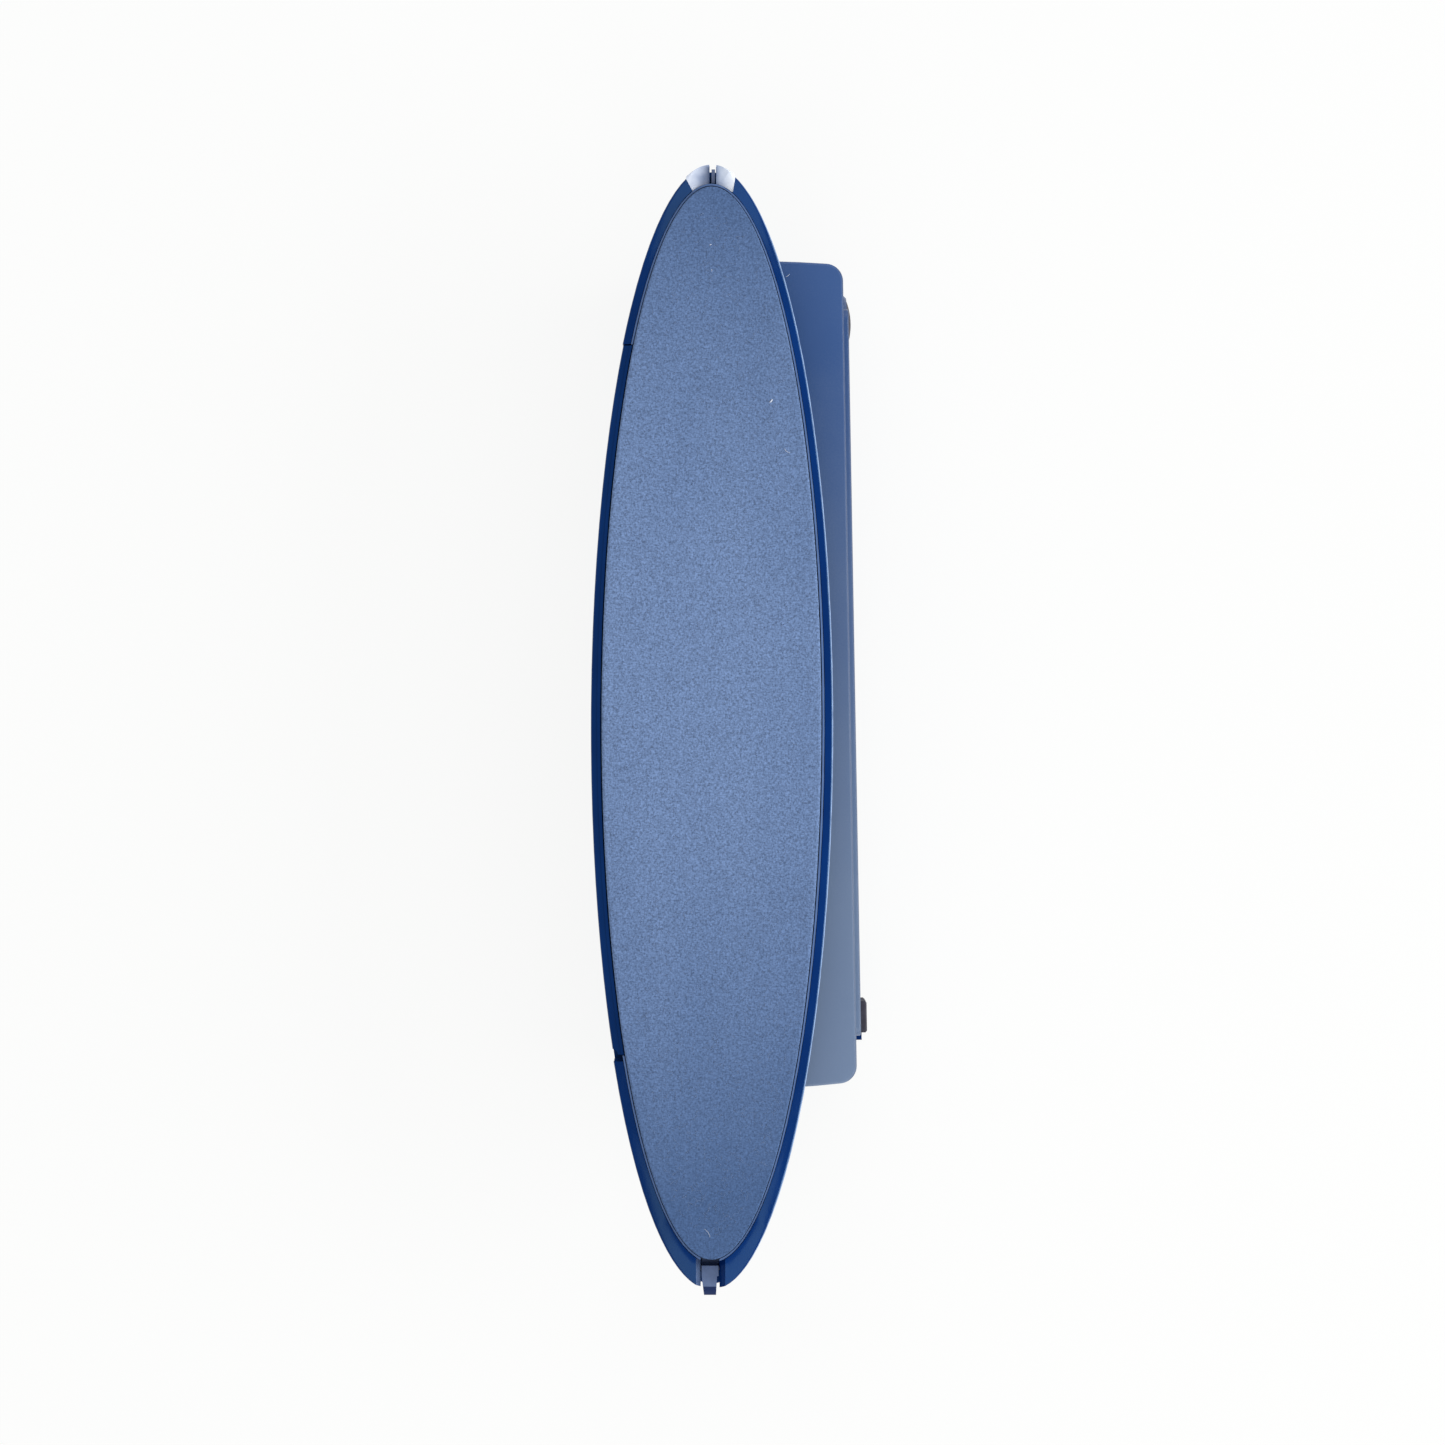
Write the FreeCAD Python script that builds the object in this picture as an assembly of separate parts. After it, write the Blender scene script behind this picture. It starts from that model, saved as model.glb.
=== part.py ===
"""Hand-held board eraser with an oval wiping head, a replaceable felt cartridge and an offset box grip.

The eraser lies on the back of its grip, with the felt facing +Z. +Y runs along the head towards its nose,
and +X points to the side where the grip sticks out past the head and carries two rubber feet. The origin is
on the head's axis, at the plane the grip's back rests on. All sizes are in millimetres.
"""

import FreeCAD
import Part

import math
import os

Vector = FreeCAD.Vector
ORIGIN = Vector(0, 0, 0)
X_AXIS = Vector(1, 0, 0)
Y_AXIS = Vector(0, 1, 0)
Z_AXIS = Vector(0, 0, 1)

# Heights of the stack, from the resting plane up to the felt.
COVER_THICKNESS = 2.4
GRIP_FRONT = 26.0
NECK_THICKNESS = 2.0
HEAD_BACK = GRIP_FRONT + NECK_THICKNESS
FLOOR_THICKNESS = 2.0
HEAD_FLOOR = HEAD_BACK + FLOOR_THICKNESS
CARRIER_BACK = HEAD_FLOOR + 3.0
CARRIER_THICKNESS = 1.6
FOAM_BACK = CARRIER_BACK + CARRIER_THICKNESS
FOAM_THICKNESS = 3.4
FELT_BACK = FOAM_BACK + FOAM_THICKNESS
FELT_THICKNESS = 4.0
FELT_FACE = FELT_BACK + FELT_THICKNESS
RIM_TOP = FELT_FACE - 0.8

# The head is a true ellipse, and so is the pocket that holds the cartridge.
HEAD_HALF_WIDTH = 24.4
HEAD_HALF_LENGTH = 112.6
HEAD_CENTRE_Y = -0.4
POCKET_HALF_WIDTH = 22.75
POCKET_HALF_LENGTH = 108.1
POCKET_CENTRE_Y = 0.6
CARTRIDGE_GAP = 0.12
TRAY_WALL = 0.4
TRAY_WALL_TOP = RIM_TOP - 0.15
FELT_GAP = 0.15
WINDOW_CLEARANCE = 0.2
FOAM_INSET = 2.2
RIM_SLOPE_WIDTH = 3.4
RIM_SLOPE_DROP = 0.75
RIM_ROUND = 0.6
HEAD_BACK_ROUND = 1.0
RETAINING_LIP = 1.2
LIP_BOTTOM = FOAM_BACK + 0.2
LIP_TOP = LIP_BOTTOM + 1.2
FIXED_LIP_HALF_LENGTH = 45.0
RIB_POSITIONS = (-84.0, -12.0, 18.0, 88.0)
RIB_THICKNESS = 2.0
RIB_HALF_WIDTH = 11.0

# The left flank of the rim is a separate latch bar that slides out sideways.
LATCH_TOP_Y = 76.2
LATCH_BOTTOM_Y = -65.8
LATCH_TOP_GAP = 0.3
LATCH_BOTTOM_GAP = 1.4
LATCH_INSET = 0.2
LATCH_INNER_GAP = 0.12
LATCH_GUARD_BOTTOM = FOAM_BACK + 0.1
LATCH_GUARD_WIDTH = CARTRIDGE_GAP + TRAY_WALL - 0.04
LATCH_CLEARANCE = 0.3
LATCH_TRAVEL = 3.0
LATCH_LIP_END_GAP = 12.0
NAIL_NOTCH_RADIUS = 1.1
TONGUE_POSITIONS = (-34.0, 44.0)
TONGUE_WIDTH = 10.0
TONGUE_THICKNESS = 1.8
LATCH_SCREW_X = -9.0
SHOULDER_RADIUS = 1.6
SLOT_CLEARANCE = 0.1

# Screws: one thread size throughout.
SCREW_RADIUS = 1.25
SCREW_HEAD_RADIUS = 2.8
CLEARANCE_RADIUS = 1.5
HEAD_SCREW_POINTS = ((1.0, -52.0), (12.0, -52.0), (1.0, 66.0), (12.0, 66.0))
BOSS_RADIUS = 3.0
BOSS_TOP = CARRIER_BACK - 0.2
DRIVE_RADIUS = 1.2
DRIVE_DEPTH = 0.7

# Nose end: a key in a narrow channel between two pale wear blocks.
CHANNEL_X = (-0.4, 0.9)
KEY_X = (0.0, 0.7)
KEY_Y = (108.75, 111.5)
NOSE_BLOCK_BOTTOM = RIM_TOP - 5.0
NOSE_BLOCK_OUTLINES = (
    ((-5.1, 109.6), (-5.1, 114.0), (-0.45, 114.0), (-0.45, 107.0), (-3.7, 106.9)),
    ((0.95, 107.0), (0.95, 114.0), (4.8, 114.0), (4.8, 110.2), (4.3, 106.9)),
)
NOSE_BLOCK_PROUD = 0.35
NOSE_BLOCK_RAKE = 12.0
NOSE_BLOCK_RAKE_DIRECTIONS = (28.0, 171.0)

# Tail end: a notch with flared cheeks and the end catch in it.
NOTCH_X = (-2.2, 1.6)
NOTCH_MOUTH_X = (-3.1, 2.75)
NOTCH_MOUTH_DEPTH = 1.4
NOTCH_FLARE_DEPTH = 3.2
NOTCH_FRONT_Y = -106.4
CATCH_X = (-2.0, 1.4)
CATCH_TIP_X = (-1.5, 0.9)
CATCH_TIP_Y = -114.4
CATCH_TAB_TOP = RIM_TOP - 3.0
CATCH_TAB_THICKNESS = 1.8
CATCH_STEM_Y = (-110.5, -108.4)
CATCH_HOOK_FRONT_Y = -106.7
CATCH_PIN_Y = -109.3
CATCH_PIN_Z = HEAD_FLOOR + 2.4
CATCH_PIN_RADIUS = 0.7
CATCH_PIN_HALF_LENGTH = 4.0
CATCH_BORE_CLEARANCE = 0.05
CATCH_BARREL_RADIUS = 1.6
CATCH_TIP_ROUND = 1.1
CATCH_RECESS_X = (-1.0, 0.4)
CATCH_RECESS_RADIUS = 1.75
SPRING_WIRE_RADIUS = 0.2
SPRING_COIL_RADIUS = 1.15
SPRING_PITCH = 0.5
SPRING_TURNS = 1.5
SPRING_LEG = 1.2
SPRING_START_X = -0.7

# The grip is a hollow box that widens towards the tail, by the same taper on both sides.
GRIP_CENTRE_X = 7.2
GRIP_NOSE_Y = 93.9
GRIP_TAIL_Y = -72.4
GRIP_NOSE_BOW = 0.8
GRIP_TAIL_BOW = 1.5
GRIP_NOSE_HALF_WIDTH = 19.5
GRIP_TAIL_HALF_WIDTH = 22.4
GRIP_CORNER = 3.6
GRIP_EDGE_ROUND = 0.5
GRIP_WALL = 2.0
COVER_LIP = 2.0
COVER_LIP_GAP = 0.15
COVER_EDGE_ROUND = 0.8
POST_INSET_X = 7.0
POST_INSET_Y = 9.0
POST_RADIUS = 3.2
COUNTERBORE_RADIUS = 3.1
COUNTERBORE_DEPTH = 1.5
COVER_SCREW_TIP = 14.0
NECK_X = (-12.0, 17.0)
NECK_Y = (-60.0, 76.0)
NECK_CORNER = 6.0

# Magnets and the steel keeper behind them, inside the back cover.
MAGNET_POINTS = ((GRIP_CENTRE_X, -36.0), (GRIP_CENTRE_X, 57.0))
MAGNET_RADIUS = 9.0
MAGNET_THICKNESS = 3.0
MAGNET_RING_WALL = 1.2
MAGNET_RING_GAP = 0.1
KEEPER_THICKNESS = 0.8
KEEPER_HALF_WIDTH = 8.0
KEEPER_OVERHANG = 12.0

# Side cover and feet, measured along the grip's right wall from the wall's middle.
SIDE_COVER_Z = (4.5, 22.5)
SIDE_COVER_ALONG = (-74.2, 74.6)
SIDE_COVER_PROUD = 1.1
SIDE_COVER_SUNK = 0.8
SIDE_COVER_CORNER = 2.0
SIDE_COVER_EDGE_ROUND = 0.4
SIDE_SCREW_ALONG = (-30.0, 40.0)
SIDE_SCREW_Z = 13.5
SIDE_SCREW_LENGTH = 7.0
SIDE_SCREW_HEAD_RADIUS = 2.2
SIDE_SCREW_HEAD_SINK = 1.2
SIDE_BOSS_DEPTH = 6.5
ROUND_FOOT_ALONG = 72.1
ROUND_FOOT_RADIUS = 4.9
ROUND_FOOT_HEIGHT = 1.75
FOOT_SEAT_RADIUS = 5.8
FOOT_SEAT_HEIGHT = 0.85
FOOT_SEAT_CHAMFER = 0.45
BAR_FOOT_ALONG = (-73.6, -67.2)
BAR_FOOT_Z = (7.0, 20.0)
BAR_FOOT_PROUD = 2.4
BAR_FOOT_CHAMFER = 0.35
BAR_FOOT_SUNK = 0.4
CLIP_ALONG = (-75.3, -73.7)
CLIP_Z = (10.0, 17.0)
CLIP_PROUD = 1.35

REACH = 400.0

# Small fits and details.
TOLERANCE = 1e-4
CHANNEL_START_Y = POCKET_HALF_LENGTH - 2.0
KEY_TOP = RIM_TOP - 0.6
LIP_WINDOW_MARGIN = 2.0
TONGUE_END_MARGIN = 2.0
LATCH_SCREW_TIP = GRIP_FRONT + 0.2
LATCH_SCREW_HEAD_RADIUS = SCREW_HEAD_RADIUS - 0.3
LATCH_SCREW_HEAD_THICKNESS = 0.8
CATCH_HOOK_Z = (FOAM_BACK + 0.3, FOAM_BACK + 1.6)
CATCH_HOOK_OVERLAP = 0.2
CATCH_NECK_STEP = 0.3
COVER_LIP_CORNER = 1.8
COVER_LIP_WIDTH = 1.4
COVER_LIP_INNER_CORNER = 0.6
DRIVE_HALF_WIDTH = 0.3
COVER_SCREW_FACE = 0.2
COVER_SCREW_END_GAP = 0.5
HEAD_SCREW_HEAD_HEIGHT = 1.8
HEAD_SCREW_END_GAP = 0.3
SIDE_BORE_RANGE = (-2.0, 3.0)
SIDE_SCREW_SINK_GAP = 0.2
SIDE_SCREW_FACE_SUNK = 0.1
SIDE_SCREW_END_GAP = 2.0
KEEPER_CORNER = 3.0


def block(x_range, y_range, z_range):
    """A box between two values on each axis."""
    corner = Vector(x_range[0], y_range[0], z_range[0])
    size = (x_range[1] - x_range[0], y_range[1] - y_range[0], z_range[1] - z_range[0])
    return Part.makeBox(size[0], size[1], size[2], corner)


def upright(radius, x, y, bottom, top):
    """A vertical cylinder."""
    return Part.makeCylinder(radius, top - bottom, Vector(x, y, bottom), Z_AXIS)


def oval(half_width, half_length, centre_y, bottom, top):
    """An elliptical prism, long along Y."""
    ellipse = Part.Ellipse(ORIGIN, half_length, half_width)
    face = Part.Face(Part.Wire(ellipse.toShape()))
    face.rotate(ORIGIN, Z_AXIS, 90)
    face.translate(Vector(0, centre_y, bottom))
    return face.extrude(Vector(0, 0, top - bottom))


def outline_prism(points, bottom, top):
    """A prism over a closed outline of (x, y) points."""
    corners = [Vector(x, y, bottom) for x, y in points]
    face = Part.Face(Part.makePolygon(corners + [corners[0]]))
    return face.extrude(Vector(0, 0, top - bottom))


def level_edges(shape, height):
    """The edges that lie in the horizontal plane at a height."""
    return [edge for edge in shape.Edges if abs(edge.BoundBox.ZMin - height) < TOLERANCE
            and abs(edge.BoundBox.ZMax - height) < TOLERANCE]


def edges_along(shape, axis):
    """The straight edges that run along an axis."""
    found = []
    for edge in shape.Edges:
        if edge.Curve.TypeId != "Part::GeomLine":
            continue
        if abs(abs(edge.tangentAt(edge.FirstParameter).dot(axis)) - 1) < 1e-6:
            found.append(edge)
    return found


def rounded_block(x_range, y_range, z_range, axis, radius):
    """A box whose edges along one axis are rounded."""
    shape = block(x_range, y_range, z_range)
    return shape.makeFillet(radius, edges_along(shape, axis))


def head_oval_wire(half_width, half_length, height):
    """An ellipse about the head's centre, long along Y, as a wire."""
    wire = Part.Wire(Part.Ellipse(ORIGIN, half_length, half_width).toShape())
    wire.rotate(ORIGIN, Z_AXIS, 90)
    wire.translate(Vector(0, HEAD_CENTRE_Y, height))
    return wire


def head_envelope(inset=0.0):
    """The whole head as one lump: its top slopes down to a rounded outer edge, and its back edge is round."""
    half_width = HEAD_HALF_WIDTH - inset
    half_length = HEAD_HALF_LENGTH - inset
    shoulder = RIM_TOP - RIM_SLOPE_DROP
    lump = oval(half_width, half_length, HEAD_CENTRE_Y, HEAD_BACK, shoulder)
    inner = head_oval_wire(half_width - RIM_SLOPE_WIDTH, half_length - RIM_SLOPE_WIDTH, RIM_TOP)
    roof = Part.makeLoft([head_oval_wire(half_width, half_length, shoulder), inner], True, True)
    lump = lump.fuse(roof).removeSplitter()
    lump = lump.makeFillet(RIM_ROUND, level_edges(lump, shoulder))
    return lump.makeFillet(HEAD_BACK_ROUND, level_edges(lump, HEAD_BACK))


def pocket(inset=0.0, bottom=HEAD_FLOOR, top=REACH):
    """The space for the cartridge, or a smaller oval inside it."""
    return oval(POCKET_HALF_WIDTH - inset, POCKET_HALF_LENGTH - inset, POCKET_CENTRE_Y, bottom, top)


def retaining_lip(x_range, y_range, wall_gap=0.0):
    """A narrow ledge round part of the pocket's wall, which holds the carrier's edge down."""
    ledge = pocket(-wall_gap, LIP_BOTTOM, LIP_TOP).cut(pocket(RETAINING_LIP, LIP_BOTTOM, LIP_TOP))
    return ledge.common(block(x_range, y_range, (LIP_BOTTOM, LIP_TOP)))


def latch_window(extra_top, extra_bottom, bottom):
    """The stretch of the left flank that the latch bar fills."""
    y_range = (LATCH_BOTTOM_Y - extra_bottom, LATCH_TOP_Y + extra_top)
    return block((-HEAD_HALF_WIDTH - 1, 0), y_range, (bottom, REACH))


def sloping_cut(start, angle, direction):
    """Everything above a plane through a point, which falls away towards a direction in the XY plane."""
    cutter = block((0, REACH), (-REACH / 2, REACH / 2), (0, REACH))
    cutter.rotate(ORIGIN, Y_AXIS, angle)
    cutter.rotate(ORIGIN, Z_AXIS, direction)
    cutter.translate(start)
    return cutter


def flared_notch():
    """The tail notch: narrow below, flared further up, and wide at its mouth."""
    flare_bottom = RIM_TOP - NOTCH_FLARE_DEPTH
    mouth_bottom = RIM_TOP - NOTCH_MOUTH_DEPTH
    notch = block(NOTCH_X, (-REACH, NOTCH_FRONT_Y), (HEAD_FLOOR, flare_bottom))
    corners = (
        (NOTCH_X[0], flare_bottom),
        (NOTCH_X[1], flare_bottom),
        (NOTCH_MOUTH_X[1], mouth_bottom),
        (NOTCH_MOUTH_X[1], REACH),
        (NOTCH_MOUTH_X[0], REACH),
        (NOTCH_MOUTH_X[0], mouth_bottom),
    )
    points = [Vector(x, NOTCH_FRONT_Y, z) for x, z in corners]
    face = Part.Face(Part.makePolygon(points + [points[0]]))
    return notch.fuse(face.extrude(Vector(0, -REACH, 0)))


def head_rim():
    """The outer wall of the head, before its openings are cut."""
    return head_envelope().cut(pocket())


def head_frame():
    """The glossy oval dish: floor, rim, support ribs, screw bosses and fixed retaining lip."""
    frame = head_rim()
    wall_band = head_envelope().cut(pocket(0, HEAD_FLOOR, REACH))
    gap_band = wall_band.common(latch_window(LATCH_TOP_GAP, LATCH_BOTTOM_GAP, HEAD_FLOOR))
    frame = frame.cut(gap_band)
    lip_y = (-FIXED_LIP_HALF_LENGTH, FIXED_LIP_HALF_LENGTH)
    frame = frame.fuse(retaining_lip((0, HEAD_HALF_WIDTH), lip_y))
    for rib_y in RIB_POSITIONS:
        rib_range = (rib_y - RIB_THICKNESS / 2, rib_y + RIB_THICKNESS / 2)
        frame = frame.fuse(block((-RIB_HALF_WIDTH, RIB_HALF_WIDTH), rib_range, (HEAD_FLOOR, CARRIER_BACK)))
    for x, y in HEAD_SCREW_POINTS:
        frame = frame.fuse(upright(BOSS_RADIUS, x, y, HEAD_FLOOR, BOSS_TOP))
    for x, y in HEAD_SCREW_POINTS:
        frame = frame.cut(upright(SCREW_RADIUS, x, y, HEAD_BACK, BOSS_TOP))
    for y in TONGUE_POSITIONS:
        frame = frame.cut(upright(SCREW_RADIUS, LATCH_SCREW_X, y, HEAD_BACK, HEAD_FLOOR))
    frame = frame.cut(block(CHANNEL_X, (CHANNEL_START_Y, REACH), (HEAD_FLOOR, REACH)))
    for outline in NOSE_BLOCK_OUTLINES:
        frame = frame.cut(outline_prism(outline, NOSE_BLOCK_BOTTOM, REACH))
    frame = frame.cut(flared_notch())
    return frame.cut(catch_pin())


def nose_block(side):
    """A pale wear block let into the rim beside the channel, with a face that falls towards the channel."""
    outline = NOSE_BLOCK_OUTLINES[side]
    rim = head_envelope(-NOSE_BLOCK_PROUD).cut(pocket())
    rim = rim.common(outline_prism(outline, NOSE_BLOCK_BOTTOM, REACH))
    inner_corner = outline[-1]
    start = Vector(inner_corner[0], inner_corner[1], RIM_TOP - RIM_SLOPE_DROP / 2)
    raked = rim.cut(sloping_cut(start, NOSE_BLOCK_RAKE, NOSE_BLOCK_RAKE_DIRECTIONS[side]))
    return max(raked.Solids, key=lambda solid: solid.Volume)


def nose_key():
    """The thin blade that locates the cartridge's nose."""
    return block(KEY_X, KEY_Y, (HEAD_FLOOR, KEY_TOP))


def lip_window(x_range, y_range):
    """The slot in the tray's wall that a retaining lip reaches through."""
    z_range = (FOAM_BACK, LIP_TOP + WINDOW_CLEARANCE)
    longer = (y_range[0] - LIP_WINDOW_MARGIN, y_range[1] + LIP_WINDOW_MARGIN)
    return block(x_range, longer, z_range)


def pad_carrier():
    """The tray that holds the foam and felt: a stiff plate with a thin wall, slotted where it is held down."""
    tray = pocket(CARTRIDGE_GAP, CARRIER_BACK, TRAY_WALL_TOP)
    tray = tray.cut(pocket(CARTRIDGE_GAP + TRAY_WALL, FOAM_BACK, REACH))
    fixed_y = (-FIXED_LIP_HALF_LENGTH, FIXED_LIP_HALF_LENGTH)
    tray = tray.cut(lip_window((0, HEAD_HALF_WIDTH), fixed_y))
    latch_y = (LATCH_BOTTOM_Y - WINDOW_CLEARANCE, LATCH_TOP_Y + WINDOW_CLEARANCE)
    tray = tray.cut(block((-HEAD_HALF_WIDTH, 0), latch_y, (FOAM_BACK, REACH)))
    hook_x = (CATCH_X[0] - WINDOW_CLEARANCE, CATCH_X[1] + WINDOW_CLEARANCE)
    return tray.cut(block(hook_x, (-HEAD_HALF_LENGTH, NOTCH_FRONT_Y + 1), (FOAM_BACK, REACH)))


def foam_layer():
    """The springy layer between carrier and felt, set in from the carrier's edge to clear the lips."""
    return pocket(FOAM_INSET, FOAM_BACK, FELT_BACK)


def felt_pad():
    """The wiping pad, which stands a little proud of the rim."""
    return pocket(CARTRIDGE_GAP + TRAY_WALL + FELT_GAP, FELT_BACK, FELT_FACE)


def latch_lip_range():
    """Where along the latch its retaining lip starts and ends."""
    return (LATCH_BOTTOM_Y + LATCH_LIP_END_GAP, LATCH_TOP_Y - LATCH_LIP_END_GAP)


def latch_tongue(centre_y):
    """A guide tongue under the carrier, slotted for its shoulder screw."""
    bottom = HEAD_FLOOR + SLOT_CLEARANCE
    top = bottom + TONGUE_THICKNESS
    end_x = LATCH_SCREW_X + LATCH_TRAVEL + SHOULDER_RADIUS + TONGUE_END_MARGIN
    y_range = (centre_y - TONGUE_WIDTH / 2, centre_y + TONGUE_WIDTH / 2)
    tongue = block((-POCKET_HALF_WIDTH, end_x), y_range, (bottom, top))
    slot_radius = SHOULDER_RADIUS + SLOT_CLEARANCE
    slot = block((LATCH_SCREW_X, LATCH_SCREW_X + LATCH_TRAVEL),
                 (centre_y - slot_radius, centre_y + slot_radius), (bottom, top))
    for x in (LATCH_SCREW_X, LATCH_SCREW_X + LATCH_TRAVEL):
        slot = slot.fuse(upright(slot_radius, x, centre_y, bottom, top))
    return tongue.cut(slot)


def side_latch():
    """The sliding bar that forms the left flank of the rim and of the tray's wall, with its lip and tongues."""
    bottom = HEAD_FLOOR + LATCH_CLEARANCE
    bar = head_envelope(LATCH_INSET).cut(pocket(-LATCH_INNER_GAP, HEAD_BACK, REACH))
    bar = bar.common(latch_window(0, 0, bottom))
    guard = pocket(-LATCH_INNER_GAP, LATCH_GUARD_BOTTOM, RIM_TOP)
    guard = guard.cut(pocket(LATCH_GUARD_WIDTH, LATCH_GUARD_BOTTOM, RIM_TOP))
    bar = bar.fuse(guard.common(latch_window(0, 0, LATCH_GUARD_BOTTOM)))
    bar = bar.fuse(retaining_lip((-HEAD_HALF_WIDTH, 0), latch_lip_range(), LATCH_INNER_GAP))
    envelope = head_envelope(LATCH_INSET)
    for y in TONGUE_POSITIONS:
        bar = bar.fuse(latch_tongue(y).common(envelope))
    notch_turn = (LATCH_BOTTOM_Y - HEAD_CENTRE_Y) / HEAD_HALF_LENGTH
    notch_x = -HEAD_HALF_WIDTH * math.sqrt(1 - notch_turn ** 2)
    return bar.cut(upright(NAIL_NOTCH_RADIUS, notch_x, LATCH_BOTTOM_Y, bottom, REACH))


def latch_screws():
    """Two shoulder screws that the tongues slide along, threaded through the floor into the neck."""
    screws = []
    for y in TONGUE_POSITIONS:
        top = HEAD_FLOOR + SLOT_CLEARANCE + TONGUE_THICKNESS + SLOT_CLEARANCE
        screw = upright(SHOULDER_RADIUS, LATCH_SCREW_X, y, HEAD_FLOOR, top)
        screw = screw.fuse(upright(SCREW_RADIUS, LATCH_SCREW_X, y, LATCH_SCREW_TIP, HEAD_FLOOR))
        head = upright(LATCH_SCREW_HEAD_RADIUS, LATCH_SCREW_X, y, top, top + LATCH_SCREW_HEAD_THICKNESS)
        screws.append(screw.fuse(head))
    return Part.Compound(screws)


def end_catch():
    """The sprung catch in the tail notch: barrel, stem, hook over the carrier and finger tab."""
    pin_centre = Vector(CATCH_X[0], CATCH_PIN_Y, CATCH_PIN_Z)
    width = CATCH_X[1] - CATCH_X[0]
    lever = Part.makeCylinder(CATCH_BARREL_RADIUS, width, pin_centre, X_AXIS)
    lever = lever.fuse(block(CATCH_X, CATCH_STEM_Y, (CATCH_PIN_Z, CATCH_TAB_TOP)))
    lever = lever.fuse(block(CATCH_X, (CATCH_STEM_Y[1] - CATCH_HOOK_OVERLAP, CATCH_HOOK_FRONT_Y), CATCH_HOOK_Z))
    tab_outline = (
        (CATCH_X[0], CATCH_STEM_Y[1]),
        (CATCH_X[0], CATCH_STEM_Y[0]),
        (CATCH_TIP_X[0], CATCH_TIP_Y),
        (CATCH_TIP_X[1], CATCH_TIP_Y),
        (CATCH_X[1] - CATCH_NECK_STEP, CATCH_STEM_Y[0]),
        (CATCH_X[1], CATCH_STEM_Y[0]),
        (CATCH_X[1], CATCH_STEM_Y[1]),
    )
    lever = lever.fuse(outline_prism(tab_outline, CATCH_TAB_TOP - CATCH_TAB_THICKNESS, CATCH_TAB_TOP))
    lever = lever.removeSplitter()
    top_edges = level_edges(lever, CATCH_TAB_TOP)
    tip_edges = [edge for edge in top_edges if edge.BoundBox.YMax < CATCH_TIP_Y + TOLERANCE]
    lever = lever.makeFillet(CATCH_TIP_ROUND, tip_edges)
    recess_start = Vector(CATCH_RECESS_X[0], CATCH_PIN_Y, CATCH_PIN_Z)
    recess_width = CATCH_RECESS_X[1] - CATCH_RECESS_X[0]
    lever = lever.cut(Part.makeCylinder(CATCH_RECESS_RADIUS, recess_width, recess_start, X_AXIS))
    bore_radius = CATCH_PIN_RADIUS + CATCH_BORE_CLEARANCE
    return lever.cut(Part.makeCylinder(bore_radius, width, pin_centre, X_AXIS))


def catch_pin():
    """The plain steel pin that the end catch turns on."""
    start = Vector(-CATCH_PIN_HALF_LENGTH, CATCH_PIN_Y, CATCH_PIN_Z)
    return Part.makeCylinder(CATCH_PIN_RADIUS, 2 * CATCH_PIN_HALF_LENGTH, start, X_AXIS)


def catch_spring():
    """A small torsion spring on the pin beside the catch, with a straight leg at each end of its coil."""
    coil = Part.makeHelix(SPRING_PITCH, SPRING_PITCH * SPRING_TURNS, SPRING_COIL_RADIUS)
    curve = coil.Edges[0]
    first = curve.valueAt(curve.FirstParameter)
    last = curve.valueAt(curve.LastParameter)
    leg_in = Part.makeLine(first - curve.tangentAt(curve.FirstParameter) * SPRING_LEG, first)
    leg_out = Part.makeLine(last, last + curve.tangentAt(curve.LastParameter) * SPRING_LEG)
    path = Part.Wire([leg_in] + coil.Edges + [leg_out])
    section = Part.Wire(Part.makeCircle(SPRING_WIRE_RADIUS, leg_in.Vertexes[0].Point,
                                        curve.tangentAt(curve.FirstParameter)))
    spring = path.makePipeShell([section], True, True)
    spring.rotate(ORIGIN, Y_AXIS, 90)
    spring.translate(Vector(SPRING_START_X, CATCH_PIN_Y, CATCH_PIN_Z))
    return spring


def grip_outline(inset, bottom, top, corner):
    """The grip's tapered outline with bowed ends, or a smaller one inside it, with rounded corners."""
    tail = GRIP_TAIL_HALF_WIDTH - inset
    nose = GRIP_NOSE_HALF_WIDTH - inset
    tail_y = GRIP_TAIL_Y + inset
    nose_y = GRIP_NOSE_Y - inset
    tail_left = Vector(GRIP_CENTRE_X - tail, tail_y, bottom)
    tail_right = Vector(GRIP_CENTRE_X + tail, tail_y, bottom)
    nose_right = Vector(GRIP_CENTRE_X + nose, nose_y, bottom)
    nose_left = Vector(GRIP_CENTRE_X - nose, nose_y, bottom)
    tail_middle = Vector(GRIP_CENTRE_X, tail_y - GRIP_TAIL_BOW, bottom)
    nose_middle = Vector(GRIP_CENTRE_X, nose_y + GRIP_NOSE_BOW, bottom)
    edges = [
        Part.Arc(tail_left, tail_middle, tail_right).toShape(),
        Part.makeLine(tail_right, nose_right),
        Part.Arc(nose_right, nose_middle, nose_left).toShape(),
        Part.makeLine(nose_left, tail_left),
    ]
    prism = Part.Face(Part.Wire(edges)).extrude(Vector(0, 0, top - bottom))
    return prism.makeFillet(corner, edges_along(prism, Z_AXIS))


def post_points():
    """Where the four cover screws go, near the grip's corners."""
    points = []
    for side in (-1, 1):
        tail_x = GRIP_CENTRE_X + side * (GRIP_TAIL_HALF_WIDTH - POST_INSET_X)
        nose_x = GRIP_CENTRE_X + side * (GRIP_NOSE_HALF_WIDTH - POST_INSET_X)
        points.append((tail_x, GRIP_TAIL_Y + POST_INSET_Y))
        points.append((nose_x, GRIP_NOSE_Y - POST_INSET_Y))
    return points


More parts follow.
